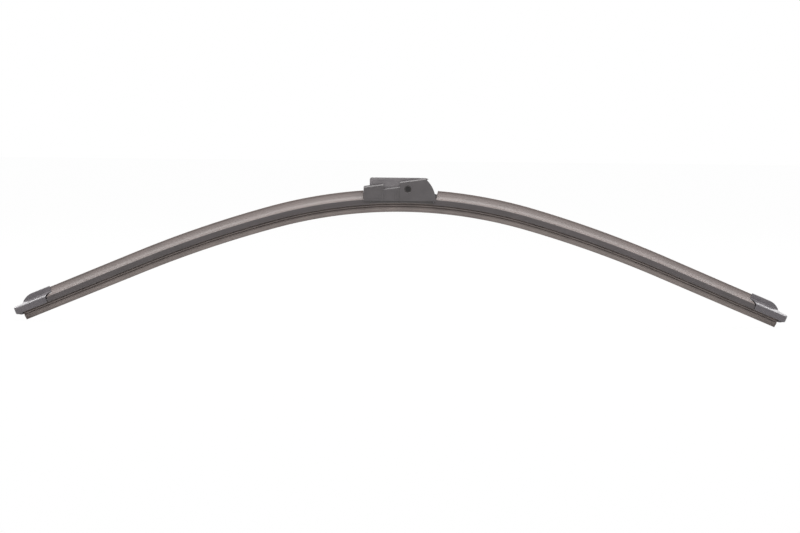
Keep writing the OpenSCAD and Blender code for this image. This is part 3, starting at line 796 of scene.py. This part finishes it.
class WIPER_OT_connector(bpy.types.Operator):
    """Rounds the edges of the connector's cover and of the arm adapter"""
    bl_idname = "wiper.connector"
    bl_label = "Connector"

    def execute(self, context):
        tone = colours()
        # Glass-filled nylon, moulded in a spark-eroded tool: matt, with a fine even grain
        nylon = moulded("Glass-filled nylon", tone.cover, tone.cover_pale, 0.4, 0.42, 0.03)
        foot = np.array(FOOT_VIEW) - (0, SEAT_Z)
        added = [roof_tip(), prism(*foot.T, FOOT_HALF)]
        mesh = combined(clean_copy("connector_cover"), "UNION", added)
        soften_sight_hole(mesh)
        mesh = edges_rounded(mesh, shape().cover_round, shape().steps)
        placed("cover", dressed(mesh, nylon), "blade", "connector_cover")
        # Unfilled nylon: a little paler and glossier than the cover
        plain = moulded("Unfilled nylon", tone.adapter, tone.adapter_pale, 0.45, 0.42, 0.02)
        mesh = edges_rounded(clean_copy("arm_adapter"), shape().cover_round, shape().steps)
        placed("adapter_block", dressed(mesh, plain), "adapter", "arm_adapter")
        return {"FINISHED"}


class WIPER_OT_steel(bpy.types.Operator):
    """Gives the rails, the bracket and the pin their metals"""
    bl_idname = "wiper.steel"
    bl_label = "Steel parts"

    def execute(self, context):
        # Spring steel strip: bright with rolling lines along it and light stains
        spring = steel("Spring steel", linear("#8f9194"), linear("#6f655c"), (40, 0.4, 0.4), 0.34)
        # Steel sheet with a dipped black coat, darkened further as painted shade under the cover's
        # walls:
        # satin, even and a little browned
        coated = steel(
            "Black coated steel with painted shade", linear("#484443"), linear("#575250"), (3.3, 1.1, 1.1), 0.45,
            metallic=0.0,
        )
        # Steel with a phosphate coat, kept very dark as painted shade in the sight hole: a dull
        # grey
        phosphated = steel(
            "Phosphated steel with painted shade", linear("#3c3b3b"), linear("#4a4642"), (1.1, 3.3, 1.1), 0.5,
        )
        for name, metal in (
            ("rail_front", spring), ("rail_rear", spring),
            ("rail_bracket", coated), ("pivot_pin", phosphated),
        ):
            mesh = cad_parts[name].data
            mesh.materials.clear()
            mesh.materials.append(metal)
        return {"FINISHED"}


class WIPER_OT_stage(bpy.types.Operator):
    """Sets the floor, the room, the lamps and the camera"""
    bl_idname = "wiper.stage"
    bl_label = "Stage"

    def execute(self, context):
        mesh = bpy.data.meshes.new("floor")
        half, low = FLOOR_HALF, solid_box[0].z - FLOOR_DROP
        corners = [(-half, -half, low), (half, -half, low), (half, half, low), (-half, half, low)]
        mesh.from_pydata(corners, [], [(0, 1, 2, 3)])
        mesh.materials.append(pale_floor())
        floor = bpy.data.objects.new("floor", mesh)
        context.scene.collection.objects.link(floor)
        white_world()
        for lamp in LAMPS:
            soft_lamp(*lamp)
        context.scene.view_settings.view_transform = "Standard"
        data = bpy.data.cameras.new("Camera")
        data.sensor_width = SENSOR
        data.lens = SENSOR * CAMERA_FAR / VIEW_WIDTH
        data.clip_end = VIEW_DEPTH
        camera = bpy.data.objects.new("Camera", data)
        context.scene.collection.objects.link(camera)
        back = Vector((0, -cos(CAMERA_DOWN), sin(CAMERA_DOWN)))
        camera.location = Vector(CAMERA_AIM) + back * CAMERA_FAR
        level = (-back).to_track_quat("-Z", "Y").to_matrix()
        camera.rotation_euler = (level @ Matrix.Rotation(CAMERA_ROLL, 3, "Z")).to_euler()
        context.scene.camera = camera
        return {"FINISHED"}


OPERATORS = (
    WIPER_OT_rubber, WIPER_OT_spoilers, WIPER_OT_end_caps, WIPER_OT_connector, WIPER_OT_steel,
    WIPER_OT_stage,
)


class WIPER_PT_panel(bpy.types.Panel):
    """Lists the sizes, the colours and the pieces in the sidebar"""
    bl_idname = "WIPER_PT_panel"
    bl_label = "Wiper blade"
    bl_space_type = "VIEW_3D"
    bl_region_type = "UI"
    bl_category = "Wiper Blade"

    def draw(self, context):
        for group in (context.scene.wiper_shape, context.scene.wiper_colours):
            for name in group.__annotations__:
                self.layout.prop(group, name)
        for operator in OPERATORS:
            self.layout.operator(operator.bl_idname)


CLASSES = (WiperShape, WiperColours, *OPERATORS, WIPER_PT_panel)


def register():
    """Adds the classes and their settings to Blender."""
    for made in CLASSES:
        bpy.utils.register_class(made)
    bpy.types.Scene.wiper_shape = PointerProperty(type=WiperShape)
    bpy.types.Scene.wiper_colours = PointerProperty(type=WiperColours)


def unregister():
    """Takes the settings and the classes out again."""
    del bpy.types.Scene.wiper_colours
    del bpy.types.Scene.wiper_shape
    for made in reversed(CLASSES):
        bpy.utils.unregister_class(made)


def main():
    register()
    bpy.ops.wiper.rubber()
    bpy.ops.wiper.spoilers()
    bpy.ops.wiper.end_caps()
    bpy.ops.wiper.connector()
    bpy.ops.wiper.steel()
    bpy.ops.wiper.stage()


if __name__ == "__main__":
    main()
